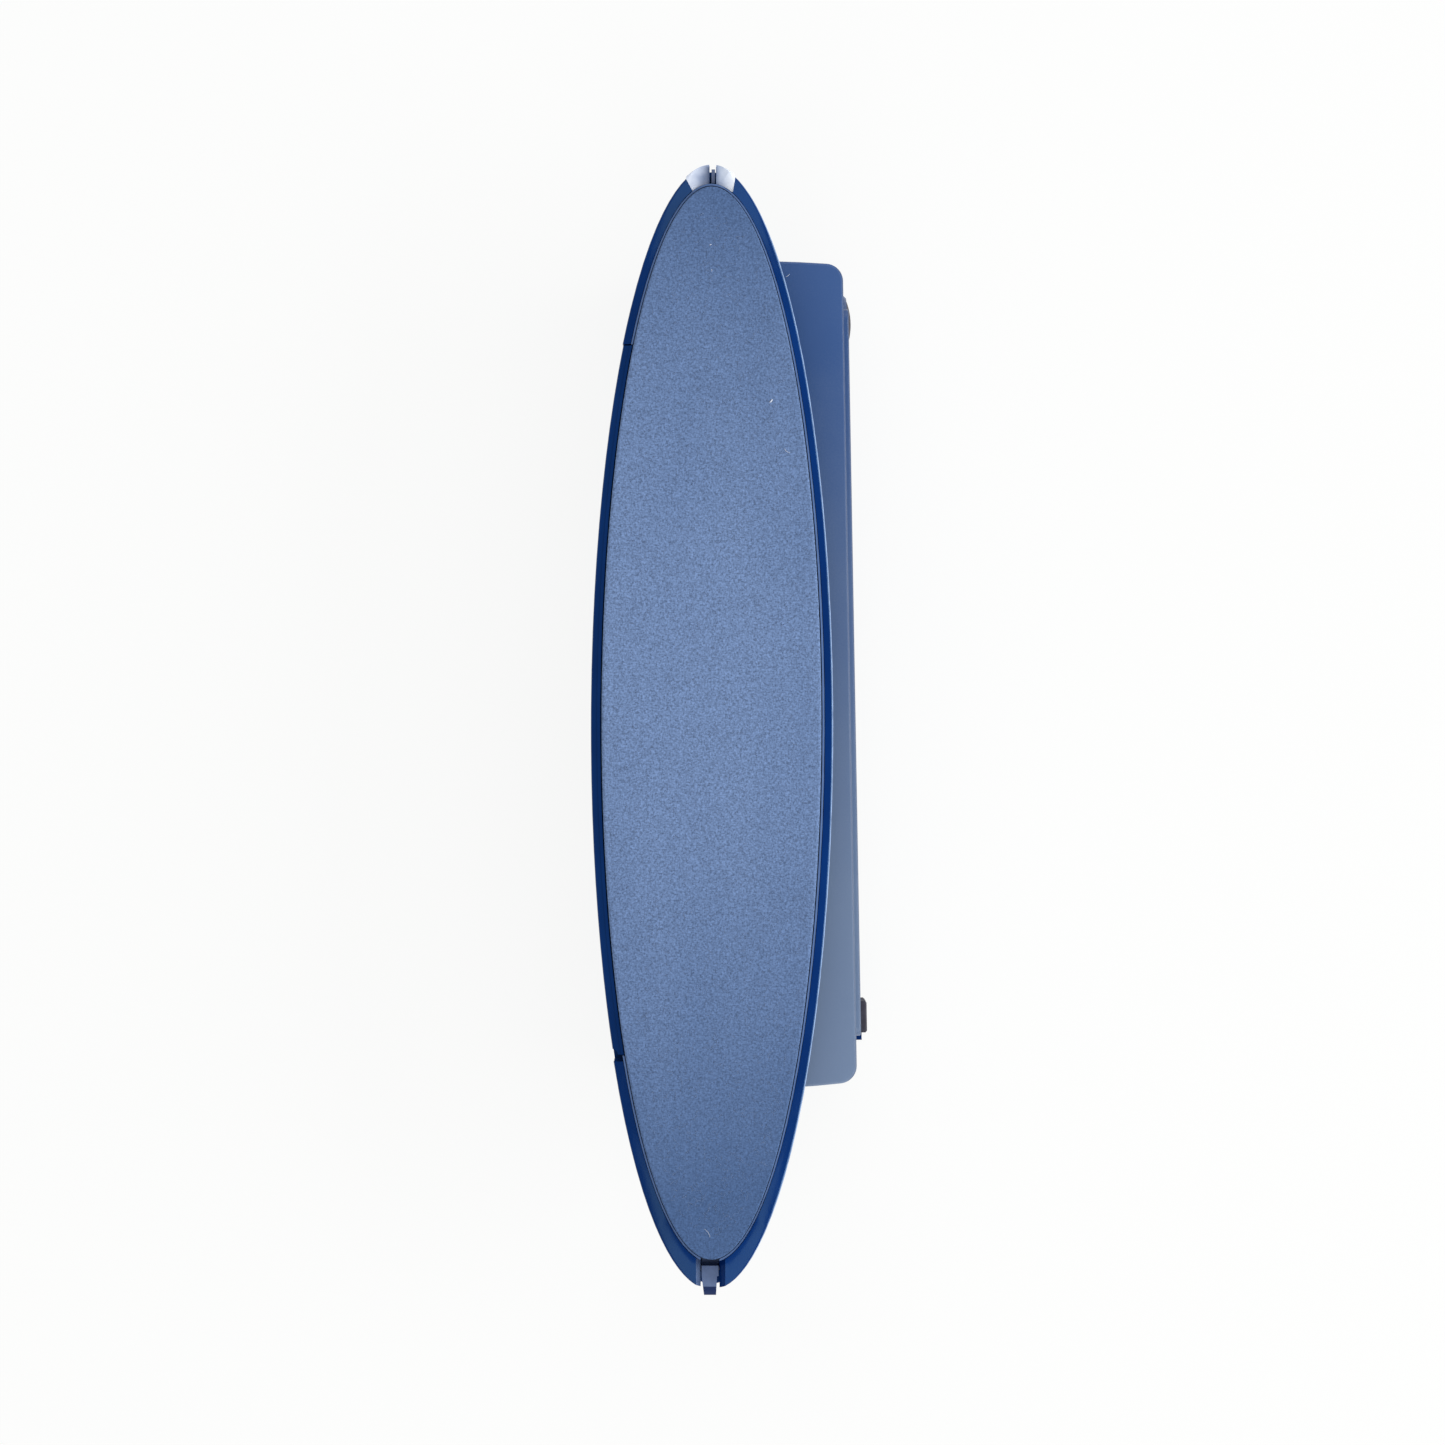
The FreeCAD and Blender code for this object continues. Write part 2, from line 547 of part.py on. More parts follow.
def along_side_wall(shape):
    """Moves a shape from wall terms, outward X and along Y from the wall's middle, onto the right wall."""
    narrowing = GRIP_TAIL_HALF_WIDTH - GRIP_NOSE_HALF_WIDTH
    taper = math.degrees(math.atan2(narrowing, GRIP_NOSE_Y - GRIP_TAIL_Y))
    middle_x = GRIP_CENTRE_X + (GRIP_TAIL_HALF_WIDTH + GRIP_NOSE_HALF_WIDTH) / 2
    shape.rotate(ORIGIN, Z_AXIS, taper)
    shape.translate(Vector(middle_x, (GRIP_NOSE_Y + GRIP_TAIL_Y) / 2, 0))
    return shape


def sideways(radius, x_range, along, height):
    """A cylinder that points out of the side wall, in wall terms."""
    return Part.makeCylinder(radius, x_range[1] - x_range[0], Vector(x_range[0], along, height), X_AXIS)


def side_cover_plate(outside, corner):
    """The side cover's plate in wall terms, from its sunk face out to a given height."""
    return rounded_block((-SIDE_COVER_SUNK, outside), SIDE_COVER_ALONG, SIDE_COVER_Z, X_AXIS, corner)


def grip_shell():
    """The box grip: front wall and four side walls, posts for the cover and bosses for the side cover."""
    shell = grip_outline(0, COVER_THICKNESS, GRIP_FRONT, GRIP_CORNER)
    shell = shell.makeFillet(GRIP_EDGE_ROUND, level_edges(shell, GRIP_FRONT))
    hollow = grip_outline(GRIP_WALL, COVER_THICKNESS, GRIP_FRONT - GRIP_WALL, GRIP_CORNER - GRIP_WALL)
    shell = shell.cut(hollow)
    post_bottom = COVER_THICKNESS + COVER_LIP
    for x, y in post_points():
        shell = shell.fuse(upright(POST_RADIUS, x, y, post_bottom, GRIP_FRONT - GRIP_WALL))
    bosses = []
    for along in SIDE_SCREW_ALONG:
        bosses.append(sideways(POST_RADIUS, (-SIDE_BOSS_DEPTH, -GRIP_WALL / 2), along, SIDE_SCREW_Z))
    shell = shell.fuse([along_side_wall(boss) for boss in bosses])
    for x, y in post_points():
        shell = shell.cut(upright(SCREW_RADIUS, x, y, post_bottom, COVER_SCREW_TIP))
    for x, y in HEAD_SCREW_POINTS:
        shell = shell.cut(upright(CLEARANCE_RADIUS, x, y, GRIP_FRONT - GRIP_WALL, GRIP_FRONT))
    shell = shell.cut(along_side_wall(side_cover_plate(SIDE_COVER_PROUD, SIDE_COVER_CORNER)))
    for along in SIDE_SCREW_ALONG:
        bore = sideways(SCREW_RADIUS, (-SIDE_SCREW_LENGTH + SIDE_COVER_PROUD, 0), along, SIDE_SCREW_Z)
        shell = shell.cut(along_side_wall(bore))
    return shell


def grip_back_cover():
    """The plate that closes the grip and that the eraser lies on, with a lip inside the shell's walls."""
    plate = grip_outline(0, 0, COVER_THICKNESS, GRIP_CORNER)
    plate = plate.makeFillet(COVER_EDGE_ROUND, level_edges(plate, 0))
    lip_top = COVER_THICKNESS + COVER_LIP
    lip_inset = GRIP_WALL + COVER_LIP_GAP
    lip = grip_outline(lip_inset, COVER_THICKNESS, lip_top, COVER_LIP_CORNER)
    inner_inset = lip_inset + COVER_LIP_WIDTH
    lip = lip.cut(grip_outline(inner_inset, COVER_THICKNESS, lip_top, COVER_LIP_INNER_CORNER))
    plate = plate.fuse(lip)
    for x, y in post_points():
        plate = plate.fuse(upright(POST_RADIUS, x, y, COVER_THICKNESS, lip_top))
    ring_radius = MAGNET_RADIUS + MAGNET_RING_GAP
    for x, y in MAGNET_POINTS:
        ring = upright(ring_radius + MAGNET_RING_WALL, x, y, COVER_THICKNESS, COVER_THICKNESS + COVER_LIP)
        plate = plate.fuse(ring.cut(upright(ring_radius, x, y, COVER_THICKNESS, lip_top)))
    for x, y in post_points():
        plate = plate.cut(upright(CLEARANCE_RADIUS, x, y, 0, lip_top))
        plate = plate.cut(upright(COUNTERBORE_RADIUS, x, y, 0, COUNTERBORE_DEPTH))
    return plate


def cross_driven_head(radius, x, y, face, underside):
    """A screw head with a cross recess in its face, as (head, recess)."""
    head = upright(radius, x, y, min(face, underside), max(face, underside))
    deep = face + math.copysign(DRIVE_DEPTH, underside - face)
    depth_range = (min(face, deep), max(face, deep))
    narrow_y = (y - DRIVE_HALF_WIDTH, y + DRIVE_HALF_WIDTH)
    recess = block((x - DRIVE_RADIUS, x + DRIVE_RADIUS), narrow_y, depth_range)
    narrow_x = (x - DRIVE_HALF_WIDTH, x + DRIVE_HALF_WIDTH)
    recess = recess.fuse(block(narrow_x, (y - DRIVE_RADIUS, y + DRIVE_RADIUS), depth_range))
    return head.cut(recess)


def cover_screws():
    """Four screws that hold the back cover on, sunk in its counterbores."""
    screws = []
    for x, y in post_points():
        head = cross_driven_head(SCREW_HEAD_RADIUS, x, y, COVER_SCREW_FACE, COUNTERBORE_DEPTH)
        tip = COVER_SCREW_TIP - COVER_SCREW_END_GAP
        screws.append(head.fuse(upright(SCREW_RADIUS, x, y, COUNTERBORE_DEPTH, tip)))
    return Part.Compound(screws)


def head_screws():
    """Four screws, driven from inside the grip, that clamp grip, neck and head together."""
    screws = []
    seat = GRIP_FRONT - GRIP_WALL
    for x, y in HEAD_SCREW_POINTS:
        head = cross_driven_head(SCREW_HEAD_RADIUS, x, y, seat - HEAD_SCREW_HEAD_HEIGHT, seat)
        screws.append(head.fuse(upright(SCREW_RADIUS, x, y, seat, BOSS_TOP - HEAD_SCREW_END_GAP)))
    return Part.Compound(screws)


def neck_plate():
    """The spacer that stands the head off the grip and leaves a shadow gap between them."""
    plate = rounded_block(NECK_X, NECK_Y, (GRIP_FRONT, HEAD_BACK), Z_AXIS, NECK_CORNER)
    for x, y in HEAD_SCREW_POINTS:
        plate = plate.cut(upright(CLEARANCE_RADIUS, x, y, GRIP_FRONT, HEAD_BACK))
    for y in TONGUE_POSITIONS:
        plate = plate.cut(upright(SCREW_RADIUS, LATCH_SCREW_X, y, GRIP_FRONT, HEAD_BACK))
    return plate


def side_cover():
    """The thin cover let into the grip's right wall, with the round foot's seat at its nose end."""
    cover = side_cover_plate(SIDE_COVER_PROUD, SIDE_COVER_CORNER)
    rim = [edge for edge in cover.Edges if edge.BoundBox.XMin > SIDE_COVER_PROUD - TOLERANCE]
    cover = cover.makeFillet(SIDE_COVER_EDGE_ROUND, rim)
    cover = cover.cut(sideways(FOOT_SEAT_RADIUS, (0, REACH), ROUND_FOOT_ALONG, SIDE_SCREW_Z))
    seat = sideways(FOOT_SEAT_RADIUS, (0, FOOT_SEAT_HEIGHT), ROUND_FOOT_ALONG, SIDE_SCREW_Z)
    seat_edge = [edge for edge in seat.Edges if edge.BoundBox.XMin > FOOT_SEAT_HEIGHT - TOLERANCE]
    cover = cover.fuse(seat.makeChamfer(FOOT_SEAT_CHAMFER, seat_edge))
    cover = cover.cut(bar_foot_block())
    cover = cover.cut(block((0, REACH), CLIP_ALONG, CLIP_Z))
    for along in SIDE_SCREW_ALONG:
        cover = cover.cut(sideways(CLEARANCE_RADIUS, SIDE_BORE_RANGE, along, SIDE_SCREW_Z))
        sink = (SIDE_COVER_PROUD - SIDE_SCREW_HEAD_SINK, REACH)
        cover = cover.cut(sideways(SIDE_SCREW_HEAD_RADIUS + SIDE_SCREW_SINK_GAP, sink, along, SIDE_SCREW_Z))
    return along_side_wall(cover)


def side_cover_screws():
    """Two short screws, sunk in the side cover."""
    screws = []
    for along in SIDE_SCREW_ALONG:
        seat = SIDE_COVER_PROUD - SIDE_SCREW_HEAD_SINK
        face = SIDE_COVER_PROUD - SIDE_SCREW_FACE_SUNK
        screw = sideways(SIDE_SCREW_HEAD_RADIUS, (seat, face), along, SIDE_SCREW_Z)
        slot_y = (along - DRIVE_RADIUS, along + DRIVE_RADIUS)
        slot_z = (SIDE_SCREW_Z - DRIVE_RADIUS, SIDE_SCREW_Z + DRIVE_RADIUS)
        depth = (face - DRIVE_DEPTH, face)
        narrow_z = (SIDE_SCREW_Z - DRIVE_HALF_WIDTH, SIDE_SCREW_Z + DRIVE_HALF_WIDTH)
        screw = screw.cut(block(depth, slot_y, narrow_z))
        screw = screw.cut(block(depth, (along - DRIVE_HALF_WIDTH, along + DRIVE_HALF_WIDTH), slot_z))
        shank_range = (seat - SIDE_SCREW_LENGTH + SIDE_SCREW_END_GAP, seat)
        shank = sideways(SCREW_RADIUS, shank_range, along, SIDE_SCREW_Z)
        screws.append(along_side_wall(screw.fuse(shank)))
    return Part.Compound(screws)


def round_foot():
    """A domed rubber button bonded to the side cover's round seat."""
    dome_height = ROUND_FOOT_HEIGHT - FOOT_SEAT_HEIGHT
    radius = (ROUND_FOOT_RADIUS ** 2 + dome_height ** 2) / (2 * dome_height)
    dome = Part.makeSphere(radius, Vector(ROUND_FOOT_HEIGHT - radius, ROUND_FOOT_ALONG, SIDE_SCREW_Z))
    button_range = (FOOT_SEAT_HEIGHT, ROUND_FOOT_HEIGHT + 1)
    button = sideways(ROUND_FOOT_RADIUS, button_range, ROUND_FOOT_ALONG, SIDE_SCREW_Z)
    return along_side_wall(button.common(dome))


def bar_foot_block():
    """The bar foot's outline, from its sunk face outwards, in wall terms."""
    return block((SIDE_COVER_PROUD - BAR_FOOT_SUNK, BAR_FOOT_PROUD), BAR_FOOT_ALONG, BAR_FOOT_Z)


def bar_foot():
    """A block-shaped rubber foot with bevelled edges, let into the side cover's tail end."""
    foot = bar_foot_block()
    outer = [edge for edge in foot.Edges if edge.BoundBox.XMin > BAR_FOOT_PROUD - TOLERANCE]
    return along_side_wall(foot.makeChamfer(BAR_FOOT_CHAMFER, outer))


def cover_clip():
    """The small dark clip that holds the side cover's tail end."""
    return along_side_wall(block((0, CLIP_PROUD), CLIP_ALONG, CLIP_Z))


def magnets():
    """Two disc magnets that hold the eraser on a steel board."""
    top = COVER_THICKNESS + MAGNET_THICKNESS
    return Part.Compound([upright(MAGNET_RADIUS, x, y, COVER_THICKNESS, top) for x, y in MAGNET_POINTS])


def magnet_keeper():
    """The steel strip across the magnets' backs."""
    bottom = COVER_THICKNESS + MAGNET_THICKNESS
    y_range = (MAGNET_POINTS[0][1] - KEEPER_OVERHANG, MAGNET_POINTS[1][1] + KEEPER_OVERHANG)
    x_range = (GRIP_CENTRE_X - KEEPER_HALF_WIDTH, GRIP_CENTRE_X + KEEPER_HALF_WIDTH)
    return rounded_block(x_range, y_range, (bottom, bottom + KEEPER_THICKNESS), Z_AXIS, KEEPER_CORNER)


PARTS = {
    "head_frame": head_frame,
    "nose_block_left": lambda: nose_block(0),
    "nose_block_right": lambda: nose_block(1),
    "nose_key": nose_key,
    "pad_carrier": pad_carrier,
    "foam_layer": foam_layer,
    "felt_pad": felt_pad,
    "side_latch": side_latch,
    "latch_screws": latch_screws,
    "end_catch": end_catch,
    "catch_pin": catch_pin,
    "catch_spring": catch_spring,
    "neck_plate": neck_plate,
    "head_screws": head_screws,
    "grip_shell": grip_shell,
    "grip_back_cover": grip_back_cover,
    "cover_screws": cover_screws,
    "side_cover": side_cover,
    "side_cover_screws": side_cover_screws,
    "round_foot": round_foot,
    "bar_foot": bar_foot,
    "cover_clip": cover_clip,
    "magnets": magnets,
    "magnet_keeper": magnet_keeper,
}

os.makedirs("parts", exist_ok=True)
for name, make in PARTS.items():
    shape = make()
    if not shape.isValid():
        print("not valid:", name)
    print(f"{name}: {len(shape.Solids)} solid(s), {shape.Volume:.0f} mm3")
    shape.exportStep(f"parts/{name}.step")
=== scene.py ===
"""Looks for the oval board eraser: felt and foam pieces, procedural materials, floor, lights and camera."""

import math
import random

import bpy
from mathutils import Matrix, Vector, noise


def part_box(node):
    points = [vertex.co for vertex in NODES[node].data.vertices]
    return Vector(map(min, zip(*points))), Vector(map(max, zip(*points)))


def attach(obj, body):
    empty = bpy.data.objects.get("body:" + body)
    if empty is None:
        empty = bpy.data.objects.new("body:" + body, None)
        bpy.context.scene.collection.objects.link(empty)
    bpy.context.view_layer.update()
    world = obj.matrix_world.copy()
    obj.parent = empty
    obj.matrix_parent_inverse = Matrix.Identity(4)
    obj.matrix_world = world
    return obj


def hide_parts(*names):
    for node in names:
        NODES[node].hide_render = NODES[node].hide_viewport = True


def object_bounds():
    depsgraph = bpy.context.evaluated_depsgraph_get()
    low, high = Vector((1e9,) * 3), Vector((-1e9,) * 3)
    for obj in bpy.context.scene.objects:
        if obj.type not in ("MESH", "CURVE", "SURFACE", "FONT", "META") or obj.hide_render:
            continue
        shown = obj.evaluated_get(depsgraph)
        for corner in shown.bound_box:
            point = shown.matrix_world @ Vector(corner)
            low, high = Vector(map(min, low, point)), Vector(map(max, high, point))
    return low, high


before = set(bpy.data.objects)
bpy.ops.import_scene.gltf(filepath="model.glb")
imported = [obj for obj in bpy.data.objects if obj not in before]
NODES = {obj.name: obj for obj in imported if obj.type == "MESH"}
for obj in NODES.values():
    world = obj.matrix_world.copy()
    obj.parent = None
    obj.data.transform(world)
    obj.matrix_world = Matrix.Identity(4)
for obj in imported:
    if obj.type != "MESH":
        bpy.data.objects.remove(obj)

CAD_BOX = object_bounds()
MM = 0.001

# The view: straight down on the felt, just right of the head's axis.
VIEW_CENTRE = Vector((2.2, 0.7, 0)) * MM
VIEW_DISTANCE = 900 * MM
VIEW_WIDTH = 289 * MM
SENSOR_WIDTH = 36.0
NEAREST_SEEN = 0.01
FARTHEST_SEEN = 20.0

# The studio: a floor 5 m across, lit from below so that its shadows stay faint, and three softboxes.
FLOOR_HALF = 2.5
FLOOR_BELOW = 0.2 * MM
FLOOR_GLOW = 0.865
WORLD_COLOUR = (0.80, 0.88, 1.0, 1.0)
WORLD_STRENGTH = 0.30
# Each is name, place, width and height in metres, watts, colour. All face the object.
SOFTBOXES = (
    ("tail_softbox", (0.0, -1.10, 1.05), 2.3, 1.6, 15.6, (1.0, 0.995, 0.985)),
    ("nose_softbox", (0.0, 1.15, 1.00), 2.3, 1.5, 13.4, (0.985, 0.99, 1.0)),
    ("side_softbox", (1.42, 0.0, 0.62), 1.6, 0.8, 18.0, (0.97, 0.985, 1.0)),
)

# The felt pad. Its face is palest a little towards the nose: partly rubbed pale by handling, partly a
# painted pool of light.
FELT_ROWS = 640
FELT_COLUMNS = 132
FELT_TRIM = 0.08 * MM
FELT_EDGE_ROUND = 0.30 * MM
FELT_GRAIN = 0.75 * MM
FELT_GRAIN_HEIGHT = 0.020 * MM
FELT_SWELL = 9 * MM
FELT_SWELL_HEIGHT = 0.04 * MM
FELT_BRIGHTEST_Y = 12 * MM
SHADED_FRESH_CONTRAST = 0.28
LIT_WORN_CONTRAST = 0.42

# Loose fibres over the felt, each a strand that thins towards its ends.
FIBRE_COUNT = 4200
FIBRE_RADIUS = 0.022 * MM
FIBRE_REACH = 0.955
FIBRE_SEED = 11
STRAND_TIP = 0.35
STRAND_RISE = 1.2

# The foam under the felt.
FOAM_ROWS = 160
FOAM_COLUMNS = 34
FOAM_EDGE_ROUND = 0.3 * MM
FOAM_CELL = 1.6 * MM
FOAM_CELL_HEIGHT = 0.03 * MM

# Both pads: rings of points down the side, how far it pulls in, and how much relief the edge keeps.
PAD_SIDE_LEVELS = 5
PAD_SIDE_WAIST = 0.004
PAD_EDGE_RELIEF = 0.4

# Painted highlight on the gloss rim's edges that turn towards +X, and painted shade on the box's edges that
# turn towards +X.
PAINTED_EDGE_HIGHLIGHT = (0.30, 0.42, 0.66)
# How dark the painted shade on the box's +X edges is.
PAINTED_EDGE_SHADE = 0.55

# Chalk dust and a painted light gradient on the box, paler towards the tail, as shares of its length from
# the nose end and from the tail end.
HAZE_AND_LIGHT_STARTS = 0.10
HAZE_AND_LIGHT_FULL = 0.22

# The darker end of the end catch's tongue, which is painted shade.
CATCH_SHADE_LENGTH = 1.8 * MM

# The range that a noise texture's values mostly fall in.
CLOUD_DARK = 0.3
CLOUD_PALE = 0.7

# Shading of the CAD nodes: corners sharper than this stay crisp.
CRISP_ANGLE = math.radians(32.0)
WELD_DISTANCE = 0.001 * MM


# ---------------------------------------------------------------- node helpers

class Finish:
    """A material under construction: a Principled shader and shorthands for the nodes that drive it."""

    def __init__(self, name, roughness, metallic=0.0):
        self.material = bpy.data.materials.new(name)
        self.material.use_nodes = True
        self.tree = self.material.node_tree
        self.shader = self.tree.nodes["Principled BSDF"]
        self.shader.inputs["Roughness"].default_value = roughness
        self.shader.inputs["Metallic"].default_value = metallic
        coordinates = self.tree.nodes.new("ShaderNodeTexCoord")
        self.place = coordinates.outputs["Object"]
        facing = self.tree.nodes.new("ShaderNodeSeparateXYZ")
        self.tree.links.new(coordinates.outputs["Normal"], facing.inputs["Vector"])
        self.facing_x = facing.outputs["X"]
        self.facing_up = facing.outputs["Z"]

    def stretched(self, scale):
        """The place on the object, with each axis scaled."""
        mapping = self.tree.nodes.new("ShaderNodeMapping")
        mapping.inputs["Scale"].default_value = scale
        self.tree.links.new(self.place, mapping.inputs["Vector"])
        return mapping.outputs["Vector"]

    def noise(self, size, detail=3.0, roughness=0.55, place=None):
        """Noise from 0 to 1 whose features are about size metres across."""
        texture = self.tree.nodes.new("ShaderNodeTexNoise")
        texture.inputs["Scale"].default_value = 1.0 / size
        texture.inputs["Detail"].default_value = detail
        texture.inputs["Roughness"].default_value = roughness
        self.tree.links.new(place or self.place, texture.inputs["Vector"])
        return texture.outputs["Fac"]

    def clouds(self, size, detail, low=0.0, high=1.0, place=None):
        """Noise whose usual range is stretched to run from low to high."""
        return self.spread(self.noise(size, detail, place=place), CLOUD_DARK, CLOUD_PALE, low, high)

    def cells(self, size):
        """Distance to the nearest cell centre, for cells about size metres across."""
        texture = self.tree.nodes.new("ShaderNodeTexVoronoi")
        texture.inputs["Scale"].default_value = 1.0 / size
        self.tree.links.new(self.place, texture.inputs["Vector"])
        return texture.outputs["Distance"]

    def spread(self, value, low, high, new_low=0.0, new_high=1.0):
        """A value remapped from one range to another, and held inside it."""
        remap = self.tree.nodes.new("ShaderNodeMapRange")
        remap.inputs["From Min"].default_value = low
        remap.inputs["From Max"].default_value = high
        remap.inputs["To Min"].default_value = new_low
        remap.inputs["To Max"].default_value = new_high
        self.tree.links.new(value, remap.inputs["Value"])
        return remap.outputs["Result"]

    def math(self, operation, first, second):
        """Arithmetic between two outputs, or an output and a number."""
        node = self.tree.nodes.new("ShaderNodeMath")
        node.operation = operation
        for socket, value in zip(node.inputs, (first, second)):
            if isinstance(value, (int, float)):
                socket.default_value = value
            else:
                self.tree.links.new(value, socket)
        return node.outputs["Value"]

    def axis(self, name):
        """One coordinate of the place on the object, in metres."""
        split = self.tree.nodes.new("ShaderNodeSeparateXYZ")
        self.tree.links.new(self.place, split.inputs["Vector"])
        return split.outputs[name]

    def turned_edge(self, start, full):
        """1 where an upper edge turns over towards +X, and 0 on the faces beside it."""
        sideways = self.spread(self.facing_x, start, full)
        upward = self.spread(self.facing_up, 0.10, 0.35)
        return self.math("MULTIPLY", sideways, upward)

    def mix(self, amount, first, second):
        """A colour between two, each a colour output or an (r, g, b)."""
        node = self.tree.nodes.new("ShaderNodeMix")
        node.data_type = "RGBA"
        self.tree.links.new(amount, node.inputs["Factor"])
        for socket, value in ((node.inputs[6], first), (node.inputs[7], second)):
            if isinstance(value, tuple):
                socket.default_value = (*value, 1.0)
            else:
                self.tree.links.new(value, socket)
        return node.outputs[2]

    def colour(self, output):
        self.tree.links.new(output, self.shader.inputs["Base Color"])

    def roughness(self, output):
        self.tree.links.new(output, self.shader.inputs["Roughness"])

    def bump(self, height, distance, strength=1.0, under=None):
        """Adds a bump of a height map, distance metres tall, over any bump made before."""
        node = self.tree.nodes.new("ShaderNodeBump")
        node.inputs["Distance"].default_value = distance
        node.inputs["Strength"].default_value = strength
        self.tree.links.new(height, node.inputs["Height"])
        if under is not None:
            self.tree.links.new(under, node.inputs["Normal"])
        self.tree.links.new(node.outputs["Normal"], self.shader.inputs["Normal"])
        return node.outputs["Normal"]

    def set(self, **values):
        """Fixed values on the shader's own sockets, written with underscores for spaces."""
        for name, value in values.items():
            self.shader.inputs[name.replace("_", " ")].default_value = value


# ---------------------------------------------------------------- materials

def scaled(colour, factor):
    """A colour made lighter or darker."""
    return tuple(factor * channel for channel in colour)


def gloss_navy(name, deep, bright):
    """High gloss moulded plastic with faint hairlines, dust dulling, mould waviness and a painted highlight
    on edges that turn towards +X.
    """
    finish = Finish(name, 0.16)
    finish.set(IOR=1.5, Specular_IOR_Level=0.4, Specular_Tint=(0.42, 0.82, 1.0, 1.0))
    tone = finish.spread(finish.noise(18 * MM, 2.0), 0.35, 0.65)
    # The pale colour on edges that turn towards +X is a painted highlight, broken up by noise.
    highlight_breakup = finish.spread(finish.noise(3 * MM, 3.0), 0.25, 0.55, 0.5, 1.0)
    painted_highlight_amount = finish.math("MULTIPLY", finish.turned_edge(0.56, 0.78), highlight_breakup)
    finish.colour(finish.mix(painted_highlight_amount, finish.mix(tone, deep, bright), PAINTED_EDGE_HIGHLIGHT))
    hairlines = finish.noise(0.25 * MM, 2.0, place=finish.stretched((1.0, 0.06, 0.5)))
    dulling = finish.spread(finish.noise(7 * MM, 4.0), 0.3, 0.75, 0.10, 0.20)
    streaks = finish.spread(hairlines, 0.55, 0.8, 0.0, 0.10)
    finish.roughness(finish.math("ADD", dulling, streaks))
    waves = finish.bump(finish.noise(9 * MM, 1.0), 0.02 * MM, 0.5)
    finish.bump(hairlines, 0.004 * MM, 0.5, under=waves)
    return finish.material


def moulded_satin(name, clean, hazed_and_lit, roughness, grain=0.22 * MM):
    """Satin plastic from a spark-eroded mould, paler towards the tail end, partly chalk dust and partly a
    painted light gradient, with painted shade on edges that turn towards +X.
    """
    finish = Finish(name, roughness)
    finish.set(IOR=1.5, Specular_IOR_Level=0.5)
    cloud = finish.clouds(26 * MM, 3.0, -0.07, 0.07)
    speckle = finish.clouds(grain * 1.6, 2.0, -0.05, 0.05)
    low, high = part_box("grip_shell")
    length = high.y - low.y
    # Paler towards the tail: partly chalk dust, partly a painted light gradient.
    haze_and_painted_light = finish.spread(finish.axis("Y"), high.y - HAZE_AND_LIGHT_STARTS * length, low.y + HAZE_AND_LIGHT_FULL * length)
    amount = finish.math("ADD", haze_and_painted_light, finish.math("ADD", cloud, speckle))
    # Painted shade on the edges that turn towards +X.
    painted_shade_amount = finish.math("MULTIPLY", finish.turned_edge(0.28, 0.50), PAINTED_EDGE_SHADE)
    finish.colour(finish.mix(painted_shade_amount, finish.mix(amount, clean, hazed_and_lit), scaled(clean, 0.3)))
    flow = finish.noise(5 * MM, 4.0, place=finish.stretched((1.0, 0.25, 1.0)))
    finish.roughness(finish.spread(flow, 0.25, 0.75, roughness - 0.04, roughness + 0.05))
    soft = finish.bump(finish.noise(14 * MM, 1.0), 0.02 * MM, 0.4)
    finish.bump(finish.noise(grain, 2.0), 0.012 * MM, 0.5, under=soft)
    return finish.material


def matte_moulding(name, deep, bright):
    """Matte engineering plastic for small working parts, with painted shade that darkens its walls."""
    finish = Finish(name, 0.55)
    finish.set(Specular_IOR_Level=0.3)
    cloud = finish.clouds(2.2 * MM, 4.0)
    # Faces that do not face up are darkened here as painted shade.
    level = finish.spread(finish.facing_up, 0.4, 0.8)
    finish.colour(finish.mix(level, scaled(deep, 0.25), finish.mix(cloud, deep, bright)))
    finish.roughness(finish.clouds(0.8 * MM, 3.0, 0.48, 0.64))
    finish.bump(finish.noise(0.18 * MM, 2.0), 0.015 * MM, 0.5)
    return finish.material


def pale_gloss_with_painted_reflection(name, clear, shade_colour, reflection_x, shade_x):
    """A rubbing block's pale lavender gloss, with a painted reflection that ramps its colour along X from
    one place to another, random clouding and fine scuffs.
    """
    finish = Finish(name, 0.14)
    finish.set(IOR=1.5)
    cloud = finish.clouds(2.6 * MM, 1.5, -0.22, 0.22)
    # Painted reflection: the colour ramps along X, with random clouding.
    depth = finish.spread(finish.axis("X"), reflection_x, shade_x)
    finish.colour(finish.mix(finish.math("ADD", depth, cloud), clear, shade_colour))
    scuffs = finish.noise(0.3 * MM, 3.0, place=finish.stretched((0.3, 1.0, 1.0)))
    finish.roughness(finish.spread(scuffs, 0.4, 0.8, 0.10, 0.30))
    finish.bump(scuffs, 0.006 * MM, 0.4)
    return finish.material


